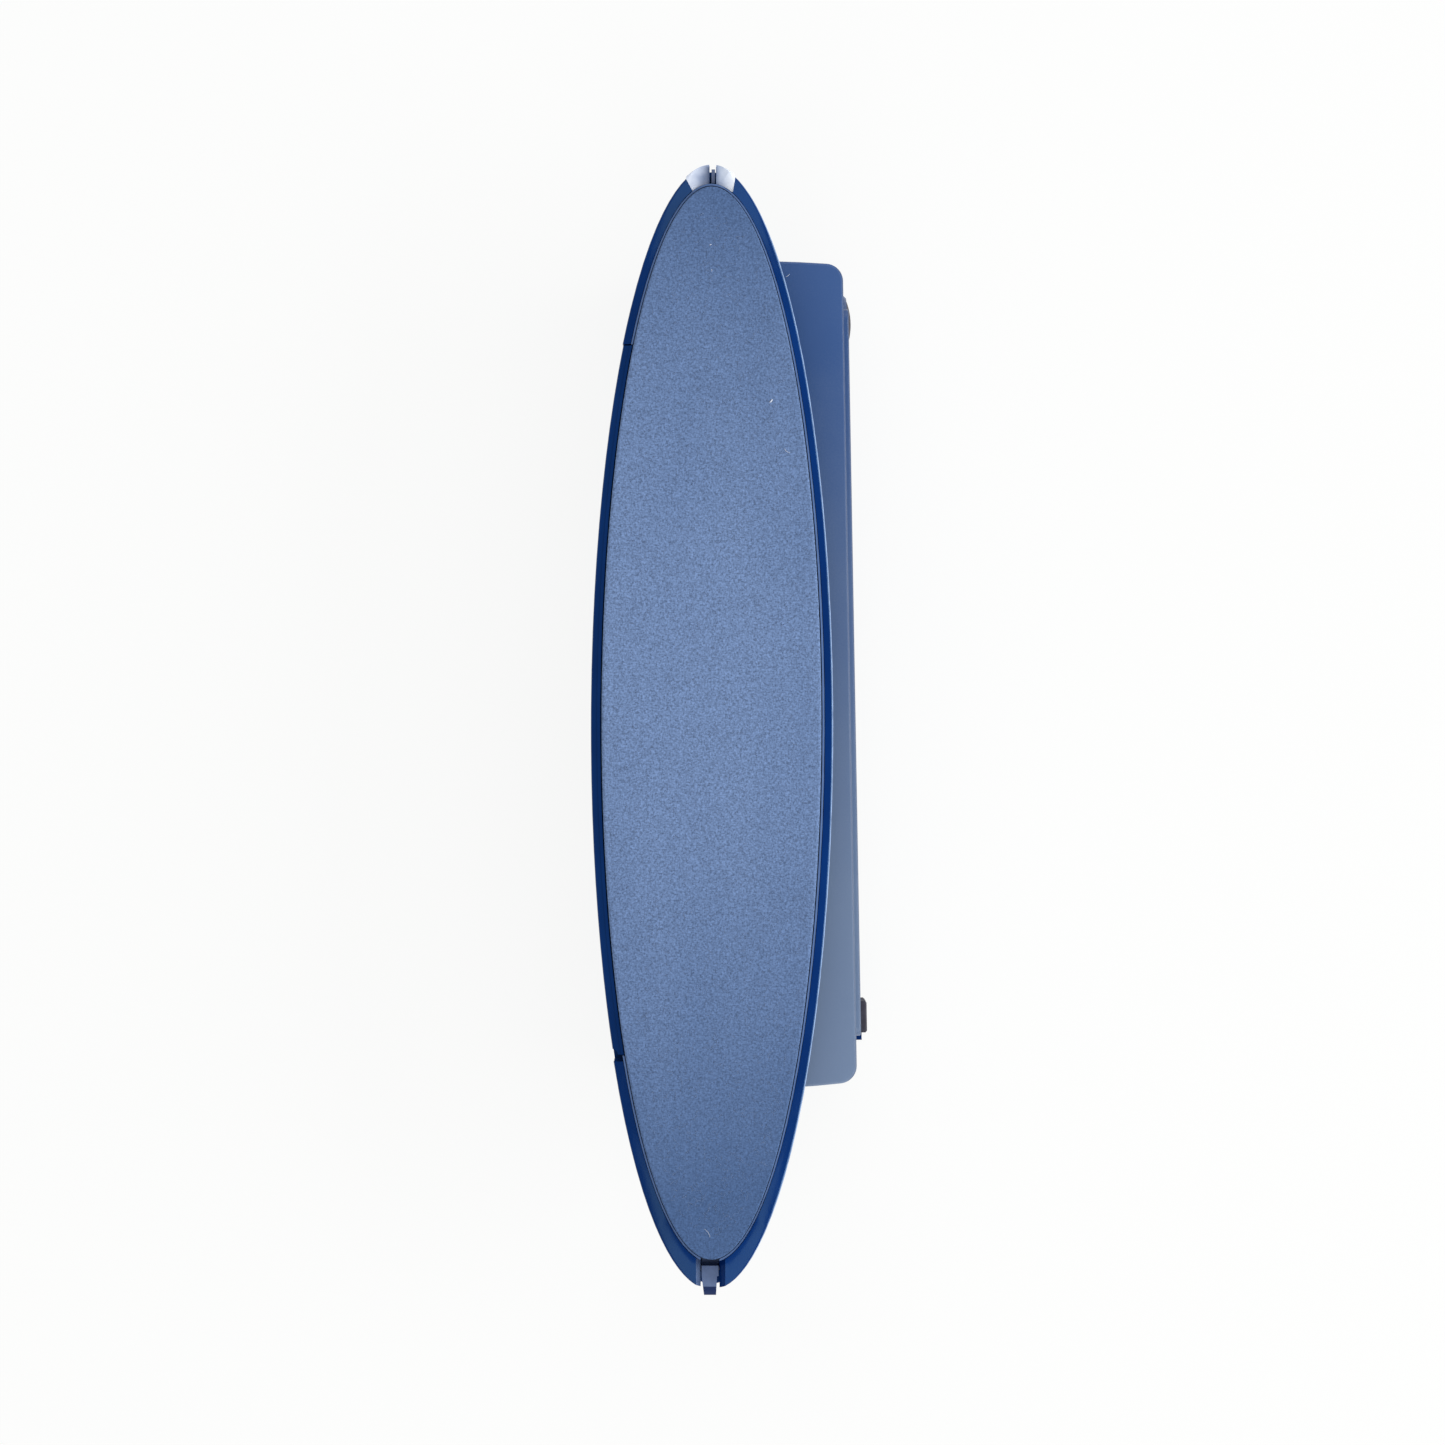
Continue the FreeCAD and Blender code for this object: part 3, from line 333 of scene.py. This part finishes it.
def felt_material(name, fresh_and_shaded, worn_and_lit):
    """Dense fine felt: fibre-scale mottling, matted patches, and a paler face in the middle that is partly
    rubbed pale by handling and partly a painted pool of light.
    """
    finish = Finish(name, 0.95)
    finish.set(Specular_IOR_Level=0.15)
    finish.set(Sheen_Weight=0.05, Sheen_Roughness=0.6, Sheen_Tint=(0.75, 0.82, 1.0, 1.0))
    _, _, half_length, _, _ = oval_frame("felt_pad")
    # Paler in the middle and darker towards the ends and the +X side: partly rubbing, partly a painted pool
    # of light.
    offset = finish.math("SUBTRACT", finish.axis("Y"), FELT_BRIGHTEST_Y)
    share = finish.math("DIVIDE", offset, half_length)
    drift = finish.clouds(30 * MM, 2.0, -0.06, 0.06)
    along = finish.math("ADD", finish.math("MULTIPLY", share, share), drift)
    across = finish.spread(finish.axis("X"), 4 * MM, 18 * MM, 0.0, 0.14)
    streaks = finish.clouds(9 * MM, 3.0, -0.06, 0.06, place=finish.stretched((1.0, 0.10, 1.0)))
    less_rubbed_and_dimmer = finish.math("ADD", finish.math("ADD", along, across), streaks)
    rubbed_and_lit = finish.spread(less_rubbed_and_dimmer, 0.0, 1.0, 1.0, 0.0)
    low_tone = finish.mix(rubbed_and_lit, scaled(fresh_and_shaded, 1 - SHADED_FRESH_CONTRAST), scaled(worn_and_lit, 1 - LIT_WORN_CONTRAST))
    high_tone = finish.mix(rubbed_and_lit, scaled(fresh_and_shaded, 1 + SHADED_FRESH_CONTRAST), scaled(worn_and_lit, 1 + LIT_WORN_CONTRAST))
    grain = finish.noise(0.36 * MM, 2.0, 0.6)
    fibres = finish.noise(0.30 * MM, 2.0, 0.6, place=finish.stretched((0.5, 1.0, 1.0)))
    crossed = finish.noise(0.30 * MM, 2.0, 0.6, place=finish.stretched((1.0, 0.5, 1.0)))
    mixed = finish.math("ADD", grain, finish.math("ADD", fibres, crossed))
    finish.colour(finish.mix(finish.spread(mixed, 1.15, 1.85), low_tone, high_tone))
    matted = finish.bump(finish.noise(2.4 * MM, 3.0), 0.05 * MM, 0.4)
    finish.bump(fibres, 0.03 * MM, 0.5, under=matted)
    return finish.material


def plastic_with_painted_shade_tip(name, body, tip, tip_start, tip_end):
    """Matte plastic that turns darker along Y, between two places in metres; the darker part is painted
    shade.
    """
    finish = Finish(name, 0.5)
    finish.set(Specular_IOR_Level=0.12)
    cloud = finish.clouds(2.2 * MM, 4.0)
    mottled = finish.mix(cloud, scaled(body, 0.88), scaled(body, 1.12))
    # Painted shade on the tip.
    painted_shade_zone = finish.spread(finish.axis("Y"), tip_start, tip_end)
    finish.colour(finish.mix(painted_shade_zone, mottled, tip))
    finish.roughness(finish.clouds(0.8 * MM, 3.0, 0.42, 0.58))
    finish.bump(finish.noise(0.18 * MM, 2.0), 0.015 * MM, 0.5)
    return finish.material


def fibre_material(name, shade, tip):
    """Loose fibres or lint, a little paler than the felt they lie on."""
    finish = Finish(name, 0.8)
    finish.set(Sheen_Weight=0.2)
    finish.colour(finish.mix(finish.clouds(3 * MM, 3.0), shade, tip))
    finish.bump(finish.noise(0.1 * MM), 0.01 * MM, 0.3)
    return finish.material


def foam_material():
    """Closed-cell foam with round cells cut open at its edge."""
    finish = Finish("foam_cells", 0.9)
    cells = finish.cells(0.55 * MM)
    finish.colour(finish.mix(finish.spread(cells, 0.1, 0.7), (0.030, 0.045, 0.090), (0.065, 0.090, 0.160)))
    finish.roughness(finish.clouds(2 * MM, 3.0, 0.82, 0.95))
    finish.bump(cells, 0.12 * MM, 0.7)
    return finish.material


def rubber_material():
    """Matte moulded rubber, greyed where it has rubbed."""
    finish = Finish("foot_rubber", 0.72)
    finish.set(Specular_IOR_Level=0.25)
    rubbed = finish.spread(finish.noise(2.0 * MM, 5.0), 0.40, 0.72)
    finish.colour(finish.mix(rubbed, (0.042, 0.039, 0.052), (0.066, 0.061, 0.082)))
    finish.roughness(finish.clouds(0.7 * MM, 3.0, 0.62, 0.82))
    finish.bump(finish.noise(0.16 * MM, 3.0), 0.02 * MM, 0.6)
    return finish.material


def steel_material(name, colour, roughness):
    """Zinc or nickel plated steel with a turned grain and slight staining."""
    finish = Finish(name, roughness, metallic=1.0)
    stain = finish.spread(finish.noise(1.5 * MM, 4.0), 0.35, 0.75)
    finish.colour(finish.mix(stain, colour, scaled(colour, 0.72)))
    grain = finish.noise(0.12 * MM, 2.0, place=finish.stretched((1.0, 1.0, 0.15)))
    finish.roughness(finish.spread(grain, CLOUD_DARK, CLOUD_PALE, roughness - 0.07, roughness + 0.10))
    finish.bump(grain, 0.004 * MM, 0.5)
    return finish.material


def floor_material():
    """A white studio surface, lit mostly from below so that shadows on it stay faint."""
    finish = Finish("studio_floor", 0.85)
    finish.set(Specular_IOR_Level=0.0, Emission_Color=(1.0, 1.0, 0.992, 1.0), Emission_Strength=FLOOR_GLOW)
    finish.colour(finish.mix(finish.noise(0.25, 2.0), (0.110, 0.110, 0.108), (0.120, 0.120, 0.118)))
    return finish.material


# ---------------------------------------------------------------- mesh helpers

def add_mesh(name, vertices, faces, material, smooth=True):
    """A mesh object in the scene, smooth shaded, with one material."""
    mesh = bpy.data.meshes.new(name)
    mesh.from_pydata(vertices, [], faces)
    mesh.update()
    mesh.materials.append(material)
    if smooth:
        mesh.shade_smooth()
    piece = bpy.data.objects.new(name, mesh)
    bpy.context.scene.collection.objects.link(piece)
    return piece


def oval_frame(node):
    """Centre, half width, half length, back and face of an oval node's box."""
    low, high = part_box(node)
    centre = (low + high) / 2
    return centre, (high.x - low.x) / 2, (high.y - low.y) / 2, low.z, high.z


def edge_distance(x, y, half_width, half_length):
    """About how far a point inside an oval is from its edge."""
    reach = math.hypot(x / half_width, y / half_length)
    if reach < 0.5:
        return half_width
    slope = math.hypot(x / half_width ** 2, y / half_length ** 2) / reach
    return (1 - reach) / slope


def rounded_drop(distance, radius):
    """How far a rounded edge falls below the face, at a distance from the edge."""
    if distance >= radius:
        return 0.0
    inward = (radius - max(distance, 0.0)) / radius
    return radius * (1 - math.sqrt(max(0.0, 1 - inward ** 2)))


def oval_pad(name, node, rows, columns, trim, edge_round, relief, material):
    """A closed oval pad in a node's place: face with relief, rounded edge, soft side and flat back."""
    centre, half_width, half_length, back, face = oval_frame(node)
    half_width -= trim
    half_length -= trim
    vertices = []

    def surface_point(turn, across):
        x = half_width * math.cos(turn) * across
        y = half_length * math.sin(turn)
        inside = edge_distance(x, y, half_width, half_length)
        drop = rounded_drop(inside, edge_round)
        settle = min(1.0, max(0.0, inside) / edge_round)
        z = face - drop - relief(x, y) * (PAD_EDGE_RELIEF + (1 - PAD_EDGE_RELIEF) * settle)
        return (centre.x + x, centre.y + y, z)

    turns = [math.pi * (row / rows - 0.5) for row in range(1, rows)]
    vertices.append(surface_point(-math.pi / 2, 0))
    for turn in turns:
        for column in range(columns + 1):
            vertices.append(surface_point(turn, 2 * column / columns - 1))
    vertices.append(surface_point(math.pi / 2, 0))

    width = columns + 1
    last_row = 1 + (rows - 2) * width
    top_pole = len(vertices) - 1
    faces = [(0, 2 + column, 1 + column) for column in range(columns)]
    for row in range(rows - 2):
        start = 1 + row * width
        for column in range(columns):
            a = start + column
            faces.append((a, a + 1, a + 1 + width, a + width))
    faces += [(last_row + column, last_row + column + 1, top_pole) for column in range(columns)]

    right = [1 + row * width + columns for row in range(rows - 1)]
    left = [1 + row * width for row in range(rows - 1)]
    loop = [0] + right + [top_pole] + left[::-1]
    previous = loop
    for level in range(1, PAD_SIDE_LEVELS + 1):
        share = level / PAD_SIDE_LEVELS
        belly = 1.0 - PAD_SIDE_WAIST * math.sin(math.pi * share)
        ring = []
        for index in loop:
            x, y, z = vertices[index]
            ring.append(len(vertices))
            inner_x = centre.x + (x - centre.x) * belly
            inner_y = centre.y + (y - centre.y) * belly
            vertices.append((inner_x, inner_y, z + (back - z) * share))
        for i, upper in enumerate(previous):
            j = (i + 1) % len(previous)
            faces.append((upper, ring[i], ring[j], previous[j]))
        previous = ring
    faces.append(tuple(reversed(previous)))
    return add_mesh(name, vertices, faces, material)


def felt_relief(x, y):
    """The felt face's relief, downwards: fibre grain over slow swells."""
    place = Vector((x, y, 0))
    grain = noise.noise(place / FELT_GRAIN) + 0.5 * noise.noise(place / (0.5 * FELT_GRAIN))
    swell = noise.noise(place / FELT_SWELL)
    return FELT_GRAIN_HEIGHT * (0.9 - grain * 0.6) + FELT_SWELL_HEIGHT * (0.5 + 0.5 * swell)


def foam_relief(x, y):
    """The foam's open cells."""
    return FOAM_CELL_HEIGHT * (1 + noise.noise(Vector((x, y, 0)) / FOAM_CELL))


def strand(points, radius, vertices, faces):
    """Adds a thin three-sided strand along points, tapering at both ends."""
    start = len(vertices)
    last = len(points) - 1
    for i, point in enumerate(points):
        ahead = points[min(i + 1, last)] - points[max(i - 1, 0)]
        side = Vector((-ahead.y, ahead.x, 0)).normalized()
        fullness = math.sin(math.pi * (i + 0.5) / (last + 1))
        thickness = radius * (STRAND_TIP + (1 - STRAND_TIP) * fullness)
        vertices.append(tuple(point + side * thickness))
        vertices.append(tuple(point - side * thickness))
        vertices.append(tuple(point + Vector((0, 0, thickness * STRAND_RISE))))
    for i in range(last):
        for k in range(3):
            a = start + 3 * i + k
            b = start + 3 * i + (k + 1) % 3
            faces.append((a, b, b + 3, a + 3))
    faces.append((start, start + 2, start + 1))
    end = start + 3 * last
    faces.append((end, end + 1, end + 2))


def curved_path(start, heading, length, bend, steps, height):
    """Points of a short strand that curls gently as it lies on a surface."""
    points = []
    place = Vector(start)
    for step in range(steps + 1):
        lift = math.sin(math.pi * step / steps)
        points.append(place + Vector((0, 0, height * lift)))
        place = place + Vector((math.cos(heading), math.sin(heading), 0)) * (length / steps)
        heading += bend / steps
    return points


def felt_fibres():
    """Short loose fibres that lie over the felt's face."""
    centre, half_width, half_length, _, face = oval_frame("felt_pad")
    level = face - FELT_GRAIN_HEIGHT - FELT_SWELL_HEIGHT / 2
    rng = random.Random(FIBRE_SEED)
    vertices = []
    faces = []
    for _ in range(FIBRE_COUNT):
        angle = rng.uniform(0, 2 * math.pi)
        reach = math.sqrt(rng.random()) * FIBRE_REACH
        x = centre.x + half_width * reach * math.cos(angle)
        y = centre.y + half_length * reach * math.sin(angle)
        heading = rng.uniform(0, 2 * math.pi)
        length = rng.uniform(0.5, 1.5) * MM
        bend = rng.uniform(-2.2, 2.2)
        points = curved_path((x, y, level), heading, length, bend, 4, rng.uniform(0.02, 0.05) * MM)
        strand(points, FIBRE_RADIUS * rng.uniform(0.7, 1.3), vertices, faces)
    material = fibre_material("felt_fibre", (0.13, 0.20, 0.36), (0.20, 0.28, 0.46))
    return add_mesh("felt_fibres", vertices, faces, material)


def lint():
    """A few pale bits of lint."""
    # Each is x, y, depth below the face and length in mm, heading and bend in radians, thickness in mm.
    bits = (
        (11.6, 64.7, 0.0, 0.9, 0.5, 0.9, 0.17),
        (14.6, 55.6, 0.0, 1.6, -1.3, 1.4, 0.05),
        (-0.4, 96.2, 0.0, 0.4, 0.2, 0.3, 0.10),
        (0.0, 90.9, 0.0, 0.5, 1.2, 0.8, 0.06),
        (-1.5, -100.6, 0.0, 2.2, -0.5, -1.1, 0.038),
        (15.0, 91.4, 16.0, 1.1, 0.3, 0.7, 0.06),
    )
    _, _, _, _, face = oval_frame("felt_pad")
    vertices = []
    faces = []
    for x, y, below, length, heading, bend, thickness in bits:
        start = (x * MM, y * MM, face - FELT_SWELL_HEIGHT - below * MM)
        points = curved_path(start, heading, length * MM, bend, 8, 0.1 * MM)
        strand(points, thickness * MM, vertices, faces)
    material = fibre_material("lint_fibre", (0.62, 0.67, 0.77), (0.82, 0.85, 0.92))
    return add_mesh("lint", vertices, faces, material)


# ---------------------------------------------------------------- the frame's own nodes

def finish_node(name, material):
    """Gives a CAD node its material and smooth shading that breaks at real edges."""
    node = NODES[name]
    node.data.materials.clear()
    node.data.materials.append(material)
    node.data.shade_smooth()
    weld = node.modifiers.new("weld", "WELD")
    weld.merge_threshold = WELD_DISTANCE
    split = node.modifiers.new("edges", "EDGE_SPLIT")
    split.split_angle = CRISP_ANGLE


def finish_frame():
    """Materials for every CAD node that stays."""
    navy = gloss_navy("gloss_navy", (0.0004, 0.0190, 0.118), (0.0010, 0.0260, 0.150))
    latch = gloss_navy("gloss_navy_latch", (0.0012, 0.0200, 0.112), (0.0020, 0.0265, 0.138))
    # Each satin's second colour is its tail end: partly chalk dust, partly painted light.
    grip = moulded_satin("grip_satin", (0.036, 0.096, 0.262), (0.170, 0.236, 0.355), 0.38)
    side = moulded_satin("side_satin", (0.038, 0.096, 0.250), (0.160, 0.224, 0.340), 0.34)
    back = moulded_satin("back_grained", (0.034, 0.080, 0.205), (0.085, 0.125, 0.215), 0.48, 0.45 * MM)
    inner = matte_moulding("inner_plastic", (0.018, 0.030, 0.066), (0.028, 0.044, 0.090))
    tray = matte_moulding("tray_plastic", (0.092, 0.160, 0.335), (0.112, 0.190, 0.380))
    violet = matte_moulding("violet_grey", (0.085, 0.110, 0.195), (0.115, 0.145, 0.240))
    # The catch's dark tip is painted shade.
    catch_low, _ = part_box("end_catch")
    shade_line = catch_low.y + CATCH_SHADE_LENGTH
    catch_shade_ends = (shade_line + 0.1 * MM, shade_line - 0.1 * MM)
    catch = plastic_with_painted_shade_tip("catch_plastic", (0.143, 0.194, 0.330), (0.014, 0.030, 0.100), *catch_shade_ends)
    zinc = steel_material("zinc_steel", (0.62, 0.63, 0.65), 0.32)
    dark_steel = steel_material("blued_steel", (0.10, 0.11, 0.14), 0.42)
    nickel = steel_material("nickel", (0.70, 0.69, 0.66), 0.20)
    rubber = rubber_material()
    # The two nose blocks are copies of one pale gloss: the left copy is darker as painted shade, the right
    # paler as painted reflection.
    shaded = pale_gloss_with_painted_reflection("pale_gloss_left", (0.72, 0.77, 0.88), (0.24, 0.30, 0.46), -4.4 * MM, -0.6 * MM)
    pale = pale_gloss_with_painted_reflection("pale_gloss_right", (0.88, 0.91, 0.96), (0.44, 0.52, 0.68), 4.2 * MM, 1.4 * MM)
    choices = {
        navy: ("head_frame", "cover_clip"),
        latch: ("side_latch",),
        shaded: ("nose_block_left",),
        pale: ("nose_block_right",),
        violet: ("nose_key",),
        catch: ("end_catch",),
        inner: ("neck_plate",),
        tray: ("pad_carrier",),
        grip: ("grip_shell",),
        back: ("grip_back_cover",),
        side: ("side_cover",),
        rubber: ("round_foot", "bar_foot"),
        nickel: ("magnets",),
        dark_steel: ("catch_pin", "catch_spring"),
        zinc: ("latch_screws", "head_screws", "cover_screws", "side_cover_screws", "magnet_keeper"),
    }
    for material, names in choices.items():
        for name in names:
            finish_node(name, material)


# ---------------------------------------------------------------- studio

def studio_floor():
    """A wide pale floor under the eraser's back."""
    low, _ = CAD_BOX
    level = low[2] - FLOOR_BELOW
    signs = ((-1, -1), (1, -1), (1, 1), (-1, 1))
    corners = [(FLOOR_HALF * x, FLOOR_HALF * y, level) for x, y in signs]
    floor = add_mesh("floor", corners, [(0, 1, 2, 3)], floor_material(), smooth=False)


def softbox(name, place, width, height, watts, colour):
    """A rectangular soft light that faces the object."""
    data = bpy.data.lights.new(name, "AREA")
    data.shape = "RECTANGLE"
    data.size = width
    data.size_y = height
    data.energy = watts
    data.color = colour
    light = bpy.data.objects.new(name, data)
    light.location = place
    light.rotation_euler = (-Vector(place)).to_track_quat("-Z", "Y").to_euler()
    bpy.context.scene.collection.objects.link(light)


def studio_lights():
    """Soft light from the tail, the nose and the right, with the left dark for the gloss rim."""
    for values in SOFTBOXES:
        softbox(*values)
    world = bpy.data.worlds.new("studio")
    world.use_nodes = True
    background = world.node_tree.nodes["Background"]
    background.inputs["Color"].default_value = WORLD_COLOUR
    background.inputs["Strength"].default_value = WORLD_STRENGTH
    bpy.context.scene.world = world
    bpy.context.scene.view_settings.view_transform = "Standard"


def view_camera():
    """Looks straight down on the felt."""
    _, _, _, _, face = oval_frame("felt_pad")
    data = bpy.data.cameras.new("camera")
    data.sensor_width = SENSOR_WIDTH
    data.lens = SENSOR_WIDTH * VIEW_DISTANCE / VIEW_WIDTH
    data.clip_start = NEAREST_SEEN
    data.clip_end = FARTHEST_SEEN
    camera = bpy.data.objects.new("camera", data)
    camera.location = (VIEW_CENTRE.x, VIEW_CENTRE.y, face + VIEW_DISTANCE)
    bpy.context.scene.collection.objects.link(camera)
    bpy.context.scene.camera = camera


# ---------------------------------------------------------------- assembly

def build():
    finish_frame()
    # The felt's second colour is its paler middle: partly rubbing, partly a painted pool of light.
    felt = felt_material("felt", (0.066, 0.120, 0.248), (0.155, 0.230, 0.398))
    pad_args = (FELT_ROWS, FELT_COLUMNS, FELT_TRIM, FELT_EDGE_ROUND, felt_relief, felt)
    pad = oval_pad("felt_face", "felt_pad", *pad_args)
    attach(pad, "body")
    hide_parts("felt_pad")
    foam_args = (FOAM_ROWS, FOAM_COLUMNS, 0.0, FOAM_EDGE_ROUND, foam_relief, foam_material())
    foam = oval_pad("foam_core", "foam_layer", *foam_args)
    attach(foam, "body")
    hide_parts("foam_layer")
    for loose in (felt_fibres(), lint()):
        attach(loose, "body")
    studio_floor()
    studio_lights()
    view_camera()


build()
